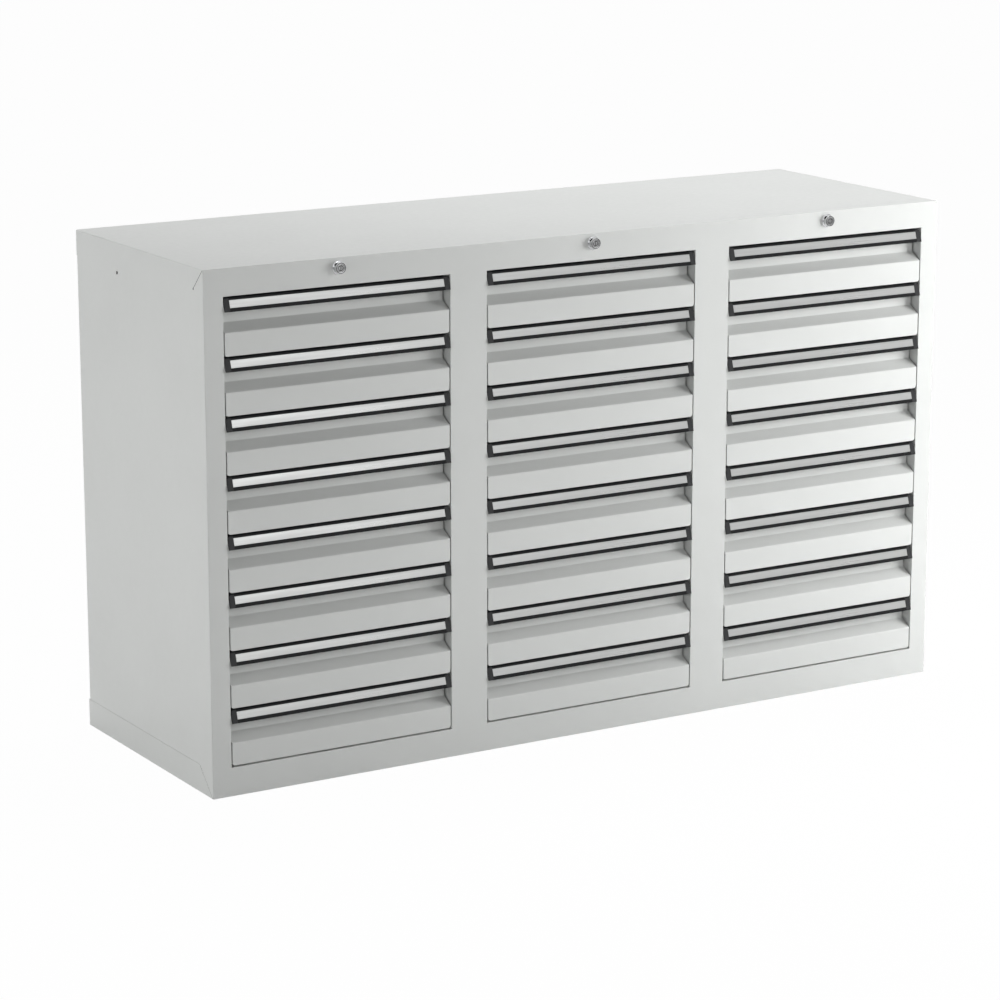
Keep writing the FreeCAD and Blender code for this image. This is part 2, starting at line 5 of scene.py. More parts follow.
import bmesh
import bpy
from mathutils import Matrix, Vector


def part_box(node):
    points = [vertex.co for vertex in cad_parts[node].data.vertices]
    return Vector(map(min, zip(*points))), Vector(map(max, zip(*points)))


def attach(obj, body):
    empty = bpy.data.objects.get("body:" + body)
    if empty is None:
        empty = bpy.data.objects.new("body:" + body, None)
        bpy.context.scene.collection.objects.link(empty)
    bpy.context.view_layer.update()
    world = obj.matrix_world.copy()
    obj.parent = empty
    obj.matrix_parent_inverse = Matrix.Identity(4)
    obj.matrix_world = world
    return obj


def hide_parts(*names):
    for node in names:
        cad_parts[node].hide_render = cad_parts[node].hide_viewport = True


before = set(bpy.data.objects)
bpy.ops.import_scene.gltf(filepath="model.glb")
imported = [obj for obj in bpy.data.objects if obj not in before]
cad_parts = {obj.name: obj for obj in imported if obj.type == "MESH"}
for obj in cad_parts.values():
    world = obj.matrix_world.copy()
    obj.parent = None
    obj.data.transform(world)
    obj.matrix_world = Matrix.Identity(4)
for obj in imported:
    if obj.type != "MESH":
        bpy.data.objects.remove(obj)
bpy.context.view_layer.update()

# Shapes are drawn in millimetres and scaled down to metres when they become meshes.
# A depth is measured back from the front frame's plane.
MM = 0.001
COLUMNS, ROWS = 3, 8

# Carcass
HALF_WIDTH, HEIGHT, DEPTH = 750, 900, 500
OPENINGS = ((-714, -286), (-214, 214), (286, 714))
MULLION = OPENINGS[1][0] - OPENINGS[0][1]
OPENING_LOW, OPENING_HIGH, RIM = 50, 853, 25
SHELL, SIDE_BEND, OPENING_BEND, BASE_BEND = 1.2, 2, 0.6, 1.6
BAND_TOP, SEAM_ABOVE, SEAM_BELOW = 48.9, 0.15, 0.25
RETURN, RELIEF, MITRE_GAP = 36, 1.6, 0.5
SKIRT_LOW, REAR, REAR_FLANGE = 855, 496, 20
HOLE_DEPTH, HOLE_HEIGHT, HOLE_RADIUS = 332, 848, 3.2

# Locks
LOCK_HEIGHT, LOCK_FACE = 883, -9
ROSE, COLLAR, THREAD, PLUG, BORE, SHAFT = 12, 10, 9, 6.5, 6.55, 3
THREAD_END, PLUG_END, CRANK_FRONT, CRANK_BACK, PIN_END = 20, 24, 484.7, 488.7, 493
NUT, NUT_FRONT, NUT_BACK = 13, 1.2, 5.2
CRANK_THROW, PIN = 12, 2.5
NOTCH_ANGLE = math.radians(136)
NOTCH_FLOOR, NOTCH_HALF, NOTCH_FRONT, NOTCH_BACK = 8, 3.1, -6.6, -2.2
KEY_HALF_WIDTH, KEY_HALF_HEIGHT, KEY_END = 0.7, 3.5, -3.5

# Drawer
COLUMN_PITCH, ROW_PITCH = 500, 100
HALF_FRONT, FRONT_SHEET, FRONT_EDGE, FRONT_CORNER = 212, 1, 0.8, 4.5
FLAT_TOP, RECESS_START, RECESS, LEDGE = 39.5, 53.4, 23, 92
TRAY_HALF, TRAY_SHEET, TRAY_FRONT, TRAY_REAR = 201, 1, 24, 460
TRAY_LOW, TRAY_LIP, TRAY_HIGH, LIP_REACH = 6, 83, 84, 209
RUNNER_LOW, RUNNER_HIGH, RUNNER_REACH, RUNNER_FRONT, FLANGE_REAR = 12, 28, 211.8, 36, 435.5
REAR_WHEEL, REAR_WHEEL_DEPTH, REAR_WHEEL_HEIGHT = 11.5, 448, 21
REAR_WHEEL_INNER, REAR_WHEEL_OUTER = 203.2, 210.2
FRONT_WHEEL, FRONT_WHEEL_DEPTH, FRONT_WHEEL_HEIGHT = 8.5, 42, 18
FRONT_WHEEL_INNER, FRONT_WHEEL_OUTER, STUB = 204.8, 211.8, 3
CATCH_HALF = 14

# Handle
TILT = math.radians(17)
LIP_BOTTOM, FRONT_TOP = 74.3, 97
FACE_FRONT = -4
FACE_RUN = (FRONT_TOP - LIP_BOTTOM) / math.cos(TILT)
STRIP_HALF, CAP_END, CAP_CORNER = 202.5, 212.5, 6
LABEL_LOW, LABEL_HIGH, LABEL_PLAY = 6.6, 19.8, 0.1
LABEL_SINK, LABEL_CORNER, CHANNEL, CHANNEL_EDGE = 0.3, 0.2, 1, 0.25
STRIP_PLAY, CAP_PLAY, LABEL_END_PLAY = 0.15, 0.05, 0.4
FACE_FOOT_CORNER, STRIP_TOP_CORNER, CAP_TOP_CORNER = 0.7, 2.8, 2

# Places this close count as the same.
TOUCH = 0.01

# The front frame's plane. The lock housings belong to that node and stand out in front of it.
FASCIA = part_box("front_frame")[0].y - LOCK_FACE * MM


# Outlines

def rounded(corners, closed=True, steps=4):
    """The corners (across, up, radius) in order, with each one turned on an arc of its radius."""
    points = []
    for index, (across, up, radius) in enumerate(corners):
        here = Vector((across, up))
        if not radius or (not closed and index in (0, len(corners) - 1)):
            points.append((across, up))
            continue
        back = (Vector(corners[index - 1][:2]) - here).normalized()
        ahead = (Vector(corners[(index + 1) % len(corners)][:2]) - here).normalized()
        half = back.angle(ahead) / 2
        middle = here + (back + ahead).normalized() * radius / math.sin(half)
        reach = radius / math.tan(half)
        start, end = here + back * reach - middle, here + ahead * reach - middle
        first = math.atan2(start.y, start.x)
        turn = (math.atan2(end.y, end.x) - first + math.pi) % (2 * math.pi) - math.pi
        for step in range(steps + 1):
            angle = first + turn * step / steps
            points.append((middle.x + radius * math.cos(angle), middle.y + radius * math.sin(angle)))
    return points


def arc(across, up, radius, start, end, steps=6):
    """Points on an arc between two angles in degrees."""
    angles = [math.radians(start + (end - start) * step / steps) for step in range(steps + 1)]
    return [(across + radius * math.cos(angle), up + radius * math.sin(angle)) for angle in angles]


def shifted(points, distance):
    """An open line moved sideways, to the right of its direction, by the same distance all along."""
    moved = []
    for index, point in enumerate(points):
        normals = []
        for first, second in ((index - 1, index), (index, index + 1)):
            if 0 <= first and second < len(points):
                step = (Vector(points[second]) - Vector(points[first])).normalized()
                normals.append(Vector((step.y, -step.x)))
        middle = sum(normals, Vector((0, 0))).normalized()
        moved.append(tuple(Vector(point) + middle * distance / middle.dot(normals[0])))
    return moved


def along_x(across, up, run):
    return run, across, up


def along_y(across, up, run):
    return across, run, up


class Shape:
    """A mesh in the making. Faces of one part share their corners, and parts stay separate."""

    def __init__(self):
        self.bm = bmesh.new()
        self.corners = {}

    def part(self):
        self.corners = {}

    def face(self, points, out=None):
        """A face through the points, turned so that its front looks the way out points."""
        corners = []
        for point in points:
            key = tuple(round(number, 4) for number in point)
            if key not in self.corners:
                self.corners[key] = self.bm.verts.new(point)
            if self.corners[key] not in corners:
                corners.append(self.corners[key])
        if len(corners) < 3:
            return
        made = self.bm.faces.new(corners)
        if out:
            made.normal_update()
            if made.normal.dot(Vector(out)) < 0:
                made.normal_flip()

    def skin(self, loops, closed=True):
        """Faces between each loop of points and the next."""
        for first, second in zip(loops, loops[1:]):
            count = len(first)
            for index in range(count if closed else count - 1):
                after = (index + 1) % count
                self.face((first[index], first[after], second[after], second[index]))

    def prism(self, outline, low, high, lay=along_x):
        """A closed outline pushed along an axis between two places."""
        self.part()
        loops = [[lay(across, up, run) for across, up in outline] for run in (low, high)]
        self.skin(loops)
        self.face(loops[0])
        self.face(loops[1])

    def strip(self, path, sheet, low, high, lay=along_x):
        """Folded sheet along an open path, with its thickness to the right of the path."""
        self.part()
        back = shifted(path, sheet)
        loops = [[lay(across, up, run) for across, up in path + back[::-1]] for run in (low, high)]
        self.skin(loops)
        last = len(path) * 2 - 1
        for loop in loops:
            for index in range(len(path) - 1):
                self.face((loop[index], loop[index + 1], loop[last - index - 1], loop[last - index]))

    def slab(self, x, y, z):
        self.prism(((y[0], z[0]), (y[1], z[0]), (y[1], z[1]), (y[0], z[1])), x[0], x[1])

    def lathe(self, profile, centre, lay, steps=48):
        """A closed profile (radius, place on the axis) turned about an axis."""
        self.part()
        loops = []
        for step in range(steps):
            angle = 2 * math.pi * step / steps
            loops.append([
                lay(centre[0] + radius * math.cos(angle), centre[1] + radius * math.sin(angle), place)
                for radius, place in profile
            ])
        self.skin(loops + loops[:1])

    def fold(self, chosen, radius, steps=4):
        """Turns sharp edges into bends. An edge is chosen by the places of its two ends."""
        edges = [edge for edge in self.bm.edges if chosen(*(corner.co for corner in edge.verts))]
        bmesh.ops.bevel(self.bm, geom=edges, offset=radius, offset_type="OFFSET", segments=steps,
                        profile=0.5, affect="EDGES", clamp_overlap=True)

    def mesh(self, name, closed=True):
        """The mesh in metres. A closed shape's faces are all turned outwards."""
        if closed:
            bmesh.ops.recalc_face_normals(self.bm, faces=self.bm.faces)
        for face in self.bm.faces:
            face.smooth = True
        bmesh.ops.scale(self.bm, vec=(MM, MM, MM), verts=self.bm.verts)
        made = bpy.data.meshes.new(name)
        self.bm.to_mesh(made)
        self.bm.free()
        return made

    def worked(self, modify, closed=True):
        """A new shape: this one after modify has put modifiers on its object.

        The function modify returns the other objects that its modifiers need.
        """
        blank = bpy.data.objects.new("blank", self.mesh("blank", closed))
        bpy.context.scene.collection.objects.link(blank)
        helpers = [blank, *modify(blank)]
        view = bpy.context.evaluated_depsgraph_get()
        made = bpy.data.meshes.new_from_object(blank.evaluated_get(view))
        result = Shape()
        result.bm.from_mesh(made)
        bmesh.ops.scale(result.bm, vec=(1 / MM, 1 / MM, 1 / MM), verts=result.bm.verts)
        bpy.data.meshes.remove(made)
        for helper in helpers:
            bpy.data.meshes.remove(helper.data)
        return result

    def thick(self, sheet):
        """The same shape as sheet metal, with its thickness behind the drawn faces."""
        def modify(drawn):
            solid = drawn.modifiers.new("sheet", "SOLIDIFY")
            solid.thickness = sheet * MM
            solid.offset = -1
            solid.use_even_offset = True
            solid.use_quality_normals = True
            return []

        return self.worked(modify, closed=False)

    def carved(self, cutter):
        """The same shape without the space that the cutter fills."""
        def modify(blank):
            tool = bpy.data.objects.new("tool", cutter.mesh("tool"))
            bpy.context.scene.collection.objects.link(tool)
            cut = blank.modifiers.new("cut", "BOOLEAN")
            cut.object = tool
            cut.operation = "DIFFERENCE"
            cut.solver = "EXACT"
            return [tool]

        return self.worked(modify)


def piece(name, mesh, material, body, nodes, edge=0.25, x=0, z=0):
    """An object that rides on a body, stands for CAD nodes and has softened edges.

    The material is for a mesh that has none of its own yet.
    """
    made = bpy.data.objects.new(name, mesh)
    bpy.context.scene.collection.objects.link(made)
    made.location = (x * MM, FASCIA, z * MM)
    if not mesh.materials:
        mesh.materials.append(material)
    soften(made, edge)
    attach(made, body)
    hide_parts(*nodes)
    return made


def soften(made, edge):
    """Breaks an object's sharp edges; the edge is in millimetres."""
    bevel = made.modifiers.new("edges", "BEVEL")
    bevel.width = edge * MM
    bevel.segments = 2
    bevel.limit_method = "ANGLE"
    bevel.angle_limit = math.radians(40)
    bevel.use_clamp_overlap = True
    normals = made.modifiers.new("normals", "WEIGHTED_NORMAL")
    normals.keep_sharp = True


# Materials

def plain(name, colour, metallic, roughness, specular=0.5):
    """A material with its shader and node tree, ready for detail."""
    material = bpy.data.materials.new(name)
    material.use_nodes = True
    shader = material.node_tree.nodes["Principled BSDF"]
    shader.inputs["Base Color"].default_value = (*colour, 1)
    shader.inputs["Metallic"].default_value = metallic
    shader.inputs["Roughness"].default_value = roughness
    shader.inputs["Specular IOR Level"].default_value = specular
    return material


def grain(material, scale, detail=2, stretch=(1, 1, 1)):
    """A noise over the object's own space; scale is in features for each metre."""
    tree = material.node_tree
    place = tree.nodes.new("ShaderNodeTexCoord")
    mapping = tree.nodes.new("ShaderNodeMapping")
    mapping.inputs["Scale"].default_value = stretch
    noise = tree.nodes.new("ShaderNodeTexNoise")
    noise.inputs["Scale"].default_value = scale
    noise.inputs["Detail"].default_value = detail
    tree.links.new(place.outputs["Object"], mapping.inputs["Vector"])
    tree.links.new(mapping.outputs["Vector"], noise.inputs["Vector"])
    return noise.outputs["Fac"]


def between(material, source, low, high):
    """The noise stretched to run from one value to another."""
    tree = material.node_tree
    ramp = tree.nodes.new("ShaderNodeMapRange")
    ramp.inputs["From Min"].default_value = 0.3
    ramp.inputs["From Max"].default_value = 0.7
    ramp.inputs["To Min"].default_value = low
    ramp.inputs["To Max"].default_value = high
    tree.links.new(source, ramp.inputs["Value"])
    return ramp.outputs["Result"]


def tinted(material, source, first, second):
    """Colour that drifts between two tones with the noise."""
    tree = material.node_tree
    ramp = tree.nodes.new("ShaderNodeValToRGB")
    ramp.color_ramp.elements[0].position = 0.3
    ramp.color_ramp.elements[1].position = 0.7
    ramp.color_ramp.elements[0].color = (*first, 1)
    ramp.color_ramp.elements[1].color = (*second, 1)
    tree.links.new(source, ramp.inputs["Fac"])
    tree.links.new(ramp.outputs["Color"], tree.nodes["Principled BSDF"].inputs["Base Color"])


def rough(material, source, low, high):
    """Roughness that runs from one value to another with the noise."""
    tree = material.node_tree
    tree.links.new(between(material, source, low, high), tree.nodes["Principled BSDF"].inputs["Roughness"])


def bumpy(material, source, height, strength=1):
    """A bump from the noise; the height is in millimetres."""
    tree = material.node_tree
    bump = tree.nodes.new("ShaderNodeBump")
    bump.inputs["Distance"].default_value = height * MM
    bump.inputs["Strength"].default_value = strength
    tree.links.new(source, bump.inputs["Height"])
    tree.links.new(bump.outputs["Normal"], tree.nodes["Principled BSDF"].inputs["Normal"])


def painted(name, tone):
    """Light grey powder coat on steel: fine orange peel and a very slight drift in tone."""
    material = plain(name, tone, 0, 0.42)
    tinted(material, grain(material, 6, 3), [part * 0.985 for part in tone], [part * 1.015 for part in tone])
    rough(material, grain(material, 90, 3), 0.38, 0.47)
    bumpy(material, grain(material, 620, 2), 0.035)
    return material


paint = painted("paint_light_grey", (0.60, 0.612, 0.60))

plastic = plain("plastic_black", (0.009, 0.0095, 0.01), 0, 0.42, 0.15)
tinted(plastic, grain(plastic, 40, 3), (0.008, 0.0085, 0.009), (0.01, 0.0105, 0.011))
rough(plastic, grain(plastic, 160, 2), 0.4, 0.5)
bumpy(plastic, grain(plastic, 1500, 2), 0.02)

cap_plastic = plain("plastic_black_caps", (0.02, 0.0205, 0.0215), 0, 0.5, 0.3)
tinted(cap_plastic, grain(cap_plastic, 60, 3), (0.018, 0.0185, 0.0195), (0.024, 0.0245, 0.0255))
rough(cap_plastic, grain(cap_plastic, 200, 2), 0.46, 0.56)
bumpy(cap_plastic, grain(cap_plastic, 1300, 2), 0.03)

silver = plain("label_silver", (0.455, 0.461, 0.456), 0.8, 0.32)
tinted(silver, grain(silver, 240, 4, (0.02, 1, 1)), (0.43, 0.436, 0.431), (0.48, 0.486, 0.481))
rough(silver, grain(silver, 500, 3, (0.01, 1, 1)), 0.27, 0.38)
bumpy(silver, grain(silver, 1800, 2, (0.01, 1, 1)), 0.004)

zinc = plain("zinc_steel", (0.56, 0.57, 0.58), 0.95, 0.36)
tinted(zinc, grain(zinc, 120, 4), (0.5, 0.51, 0.52), (0.62, 0.63, 0.63))
rough(zinc, grain(zinc, 300, 3), 0.28, 0.46)
bumpy(zinc, grain(zinc, 800, 2), 0.006)

chrome = plain("chrome", (0.78, 0.79, 0.8), 1, 0.14)
rough(chrome, grain(chrome, 900, 3), 0.09, 0.2)
bumpy(chrome, grain(chrome, 500, 2), 0.002)

nickel = plain("nickel_satin", (0.68, 0.685, 0.69), 1, 0.3)
tinted(nickel, grain(nickel, 700, 3), (0.63, 0.635, 0.64), (0.73, 0.735, 0.74))
rough(nickel, grain(nickel, 1200, 3), 0.24, 0.38)
bumpy(nickel, grain(nickel, 900, 2), 0.002)

nylon = plain("nylon_white", (0.72, 0.7, 0.64), 0, 0.48)
rough(nylon, grain(nylon, 400, 2), 0.42, 0.55)
bumpy(nylon, grain(nylon, 900, 2), 0.01)

# Near-black painted shade: put on the faces of seams, grooves, the key slot and the notch to stand in for the
# shade inside them.
painted_shade = plain("painted_shade_black", (0.01, 0.01, 0.01), 0, 0.6, 0.1)
rough(painted_shade, grain(painted_shade, 800, 2), 0.5, 0.7)


# Carcass

def paint_mitre_shade(made):
    """Colours the sheets' cut edges along the mitres and in the relief holes near black: painted shade for
    the shade in those narrow gaps.
    """
    made.materials.append(paint)
    made.materials.append(painted_shade)
    reach, over_sheet = 1.5, 0.1
    for face in made.polygons:
        side, depth, height = face.center / MM
        mitre = min(abs(depth + height - HEIGHT), abs(depth - height)) < reach and depth < BAND_TOP
        relief = math.hypot(depth - RETURN, height - HEIGHT + RETURN) < RELIEF + over_sheet
        in_sheet = HALF_WIDTH - SHELL - over_sheet < abs(side) < HALF_WIDTH - SHELL / 4
        # Faces in the mitre seams and relief holes get the near-black painted shade.
        face.material_index = int(in_sheet and abs(face.normal.x) < 0.3 and (mitre or relief))
    return made


def front_frame_sheet():
    """The pierced front with flanges folded back round the openings and mitred returns at its sides."""
    shape = Shape()
    across = [-HALF_WIDTH, *(place for pair in OPENINGS for place in pair), HALF_WIDTH]
    up = [0, OPENING_LOW, OPENING_HIGH, HEIGHT]
    for column, (left, right) in enumerate(zip(across, across[1:])):
        for row, (low, high) in enumerate(zip(up, up[1:])):
            if column % 2 and row == 1:
                continue
            shape.face(((left, 0, low), (right, 0, low), (right, 0, high), (left, 0, high)), (0, -1, 0))
    for left, right in OPENINGS:
        ring = ((left, OPENING_LOW), (right, OPENING_LOW), (right, OPENING_HIGH), (left, OPENING_HIGH))
        outs = ((0, 0, 1), (-1, 0, 0), (0, 0, -1), (1, 0, 0))
        for index, out in enumerate(outs):
            (x1, z1), (x2, z2) = ring[index], ring[(index + 1) % 4]
            shape.face(((x1, 0, z1), (x2, 0, z2), (x2, RIM, z2), (x1, RIM, z1)), out)
    outline = [(0, OPENING_LOW), (0, 0), (RETURN, RETURN),
               *arc(RETURN, HEIGHT - RETURN, RELIEF, 270, 135), (0, HEIGHT), (0, OPENING_HIGH)]
    for side in (-HALF_WIDTH, HALF_WIDTH):
        shape.face([(side, depth, height) for depth, height in outline], (side, 0, 0))

    def is_side(first, second):
        return abs(first.x) == abs(second.x) == HALF_WIDTH and first.y == second.y == 0

    def on_opening(point):
        beside = any(abs(point.x - place) < TOUCH for pair in OPENINGS for place in pair)
        return abs(point.y) < TOUCH and beside and OPENING_LOW - 1 < point.z < OPENING_HIGH + 1

    def is_opening(first, second):
        straight = abs(first.x - second.x) < TOUCH or abs(first.z - second.z) < TOUCH
        over_mullion = TOUCH < abs(first.x - second.x) < MULLION + 1
        return on_opening(first) and on_opening(second) and straight and not over_mullion

    shape.fold(is_side, SIDE_BEND)
    shape.fold(is_opening, OPENING_BEND, 3)
    return paint_mitre_shade(shape.thick(SHELL).mesh("front_frame_sheet"))


def wrapper_sheet():
    """Top and sides folded from one sheet, with a skirt and narrow flanges at the rear."""
    shape = Shape()
    low = BAND_TOP + SEAM_ABOVE
    hole = (HOLE_DEPTH, HOLE_HEIGHT, HOLE_RADIUS)
    lower = [(RETURN, HOLE_HEIGHT), *arc(*hole, 180, 270), (HOLE_DEPTH, low), (BAND_TOP, low),
             (RETURN, RETURN + 0.05)]
    upper = [(RETURN, HOLE_HEIGHT), *arc(RETURN, HEIGHT - RETURN, RELIEF, -90, 100, 10),
             (SHELL, HEIGHT), (DEPTH, HEIGHT), (DEPTH, SKIRT_LOW), (REAR, SKIRT_LOW), (REAR, low),
             (HOLE_DEPTH, low), *arc(*hole, 270, 540, 18)]
    for side in (-HALF_WIDTH, HALF_WIDTH):
        for outline in (lower, upper):
            shape.face([(side, depth, height) for depth, height in outline], (side, 0, 0))
        inner = side - math.copysign(REAR_FLANGE, side)
        shape.face(((side, REAR, low), (inner, REAR, low), (inner, REAR, SKIRT_LOW),
                    (side, REAR, SKIRT_LOW)), (0, 1, 0))
    ends = (-HALF_WIDTH, HALF_WIDTH)
    shape.face([(ends[0], SHELL, HEIGHT), (ends[1], SHELL, HEIGHT), (ends[1], DEPTH, HEIGHT),
                (ends[0], DEPTH, HEIGHT)], (0, 0, 1))
    shape.face([(ends[0], DEPTH, SKIRT_LOW), (ends[1], DEPTH, SKIRT_LOW), (ends[1], DEPTH, HEIGHT),
                (ends[0], DEPTH, HEIGHT)], (0, 1, 0))

    def is_fold(first, second):
        along = first.x == second.x
        over = first.z == second.z == HEIGHT and (along or first.y == second.y == DEPTH)
        behind = along and abs(first.x) == HALF_WIDTH and first.y == second.y and first.y >= REAR
        return over or behind

    shape.fold(is_fold, SIDE_BEND)
    return paint_mitre_shade(shape.thick(SHELL).mesh("wrapper_sheet"))


def base_sheet():
    """The plinth's band with a lip on the ground, and the floor plate that it carries."""
    shape = Shape()
    start, top, inside = 1.7, BAND_TOP - SEAM_BELOW, 0.2
    outline = [(start, 0), (start, start - MITRE_GAP), (BAND_TOP, BAND_TOP - MITRE_GAP), (BAND_TOP, top),
               (DEPTH, top), (DEPTH, 0)]
    for side in (-HALF_WIDTH, HALF_WIDTH):
        inner = side - math.copysign(RIM, side)
        shape.face([(side, depth, height) for depth, height in outline], (side, 0, 0))
        shape.face(((side, start, 0), (inner, start, 0), (inner, DEPTH - RIM, 0), (side, DEPTH, 0)),
                   (0, 0, -1))
    wide, narrow = HALF_WIDTH, HALF_WIDTH - RIM
    shape.face(((-wide, DEPTH, 0), (wide, DEPTH, 0), (narrow, DEPTH - RIM, 0), (-narrow, DEPTH - RIM, 0)),
               (0, 0, -1))
    shape.face(((-wide, DEPTH, 0), (wide, DEPTH, 0), (wide, DEPTH, top), (-wide, DEPTH, top)), (0, 1, 0))

    def is_fold(first, second):
        along, behind = first.x == second.x and abs(first.x) == wide, first.y == second.y == DEPTH
        return first.z == second.z == 0 and (along or behind) or along and behind

    shape.fold(is_fold, BASE_BEND, 3)
    solid = shape.thick(SHELL)
    front = SHELL + inside
    solid.slab((-narrow, narrow), (front, RIM), (0, SHELL))
    solid.slab((front - wide, wide - front), (front, DEPTH - front), (top - SHELL, top))
    return paint_mitre_shade(solid.mesh("base_sheet"))


def lock_housing():
    """The fixed shell of a lock cylinder: rose, collar with rings on its face, and the threaded barrel."""
    shape = Shape()
    bore_edge, ring, rim, groove_front, groove_floor, flange = -7.6, (6.9, 8), 9.2, -8.75, -8.1, -1.5
    front = rounded(((BORE, bore_edge, 0), (ring[0], -8.7, 0.3), (ring[1], -8.9, 0.3),
                     (8.3, groove_floor, 0.2), (8.9, groove_floor, 0.2), (rim, LOCK_FACE, 0.3),
                     (COLLAR, LOCK_FACE, 0.5), (COLLAR, flange, 0.3), (11.3, flange, 0.4), (ROSE, -0.9, 0.4),
                     (ROSE, 0, 0), (THREAD, 0, 0)), closed=False, steps=3)
    thread_start, half_pitch, thread_depth, half_turns = 1.4, 0.5, 0.35, 37
    thread = [(THREAD - thread_depth * (turn % 2), thread_start + turn * half_pitch)
              for turn in range(half_turns)]
    shape.lathe(front + thread + [(8.6, THREAD_END), (BORE, THREAD_END)], (0, LOCK_HEIGHT), along_y)
    notch = Shape()
    outward = Vector((math.cos(NOTCH_ANGLE), math.sin(NOTCH_ANGLE)))
    along = Vector((-outward.y, outward.x))
    outside = COLLAR + 1
    corners = [Vector((0, LOCK_HEIGHT)) + outward * reach + along * side for reach, side in
               ((NOTCH_FLOOR, -NOTCH_HALF), (outside, -NOTCH_HALF), (outside, NOTCH_HALF),
                (NOTCH_FLOOR, NOTCH_HALF))]
    notch.prism([tuple(corner) for corner in corners], NOTCH_FRONT, NOTCH_BACK, along_y)
    made = shape.carved(notch).mesh("lock_housing")
    # The notch, the rings' groove and the bore's mouth get the near-black painted shade, standing in for the
    # shade in those hollows; the rest is chrome and satin nickel.
    for look in (chrome, nickel, painted_shade):
        made.materials.append(look)
    slack = 0.1
    for face in made.polygons:
        across, depth, height = face.center / MM
        place = Vector((across, height - LOCK_HEIGHT))
        in_notch = (NOTCH_FRONT - slack < depth < NOTCH_BACK + slack and place.length < COLLAR - slack / 2
                    and place.dot(outward) > NOTCH_FLOOR - slack)
        in_groove = depth > groove_front and ring[1] < place.length < rim
        in_bore = place.length < ring[0] - slack / 2
        in_face = depth < bore_edge + slack and place.length < COLLAR - slack
        face.material_index = 2 if in_notch or in_face and (in_groove or in_bore) else int(in_face)
    return made


def lock_nut():
    """The hexagonal nut that clamps a lock cylinder behind the front frame."""
    shape = Shape()
    sides, steps, bore = 6, 6, THREAD + 0.05
    corners = arc(0, LOCK_HEIGHT, NUT, 0, 360, sides)
    outer = []
    for (x1, z1), (x2, z2) in zip(corners, corners[1:]):
        outer += [(x1 + (x2 - x1) * step / steps, z1 + (z2 - z1) * step / steps) for step in range(steps)]
    inner = []
    for x, z in outer:
        angle = math.atan2(z - LOCK_HEIGHT, x)
        inner.append((bore * math.cos(angle), LOCK_HEIGHT + bore * math.sin(angle)))
    loops = ((outer, NUT_FRONT), (outer, NUT_BACK), (inner, NUT_BACK), (inner, NUT_FRONT), (outer, NUT_FRONT))
    shape.skin([[(x, depth, z) for x, z in outline] for outline, depth in loops])
    return shape.mesh("lock_nut")


def lock_plug():
    """The turning plug with its key slot, the shaft behind it, and the crank with its pin."""
    shape = Shape()
    core, groove_floor, ring = -8.3, -7.7, -8.5
    face = rounded(((0, core, 0), (3.6, core, 0.2), (3.9, groove_floor, 0.2), (4.6, groove_floor, 0.2),
                    (4.9, ring, 0.2), (5.9, ring, 0.3), (PLUG, groove_floor, 0.3), (PLUG, PLUG_END, 0.4),
                    (0, PLUG_END, 0)), closed=False, steps=2)
    shape.lathe(face, (0, LOCK_HEIGHT), along_y)
    key = Shape()
    key.slab((-KEY_HALF_WIDTH, KEY_HALF_WIDTH), (LOCK_FACE - 1, KEY_END),
             (LOCK_HEIGHT - KEY_HALF_HEIGHT, LOCK_HEIGHT + KEY_HALF_HEIGHT))
    result = shape.carved(key)
    result.lathe(((0, PLUG_END), (SHAFT, PLUG_END), (SHAFT, CRANK_FRONT), (0, CRANK_FRONT)),
                 (0, LOCK_HEIGHT), along_y, 24)
    half, corner, below_pin = 7, 5, 6.5
    low, high = LOCK_HEIGHT - CRANK_THROW - below_pin, LOCK_HEIGHT + half
    crank = rounded(((-half, low, corner), (half, low, corner), (half, high, corner), (-half, high, corner)),
                    steps=6)
    result.prism(crank, CRANK_FRONT, CRANK_BACK, along_y)
    pin = rounded(((0, CRANK_BACK, 0), (PIN, CRANK_BACK, 0), (PIN, PIN_END, 0.5), (0, PIN_END, 0)),
                  closed=False)
    result.lathe(pin, (0, LOCK_HEIGHT - CRANK_THROW), along_y, 24)
    made = result.mesh("lock_plug")
    # The key slot and the face groove get the near-black painted shade, standing in for the shade inside
    # them; the shaft and crank behind are zinc.
    for look in (nickel, zinc, painted_shade):
        made.materials.append(look)
    slack = 0.05
    for face in made.polygons:
        across, depth, height = face.center / MM
        reach = math.hypot(across, height - LOCK_HEIGHT)
        in_slot = (abs(across) < KEY_HALF_WIDTH + slack and -8 < depth < KEY_END + 2 * slack
                   and abs(height - LOCK_HEIGHT) < KEY_HALF_HEIGHT + slack)
        in_groove = core < depth < groove_floor + 2 * slack and 3.65 < reach < 4.85
        behind = depth > PLUG_END + 2 * slack
        face.material_index = 1 if behind else 2 if in_slot or in_groove else 0
    return made


# Drawers

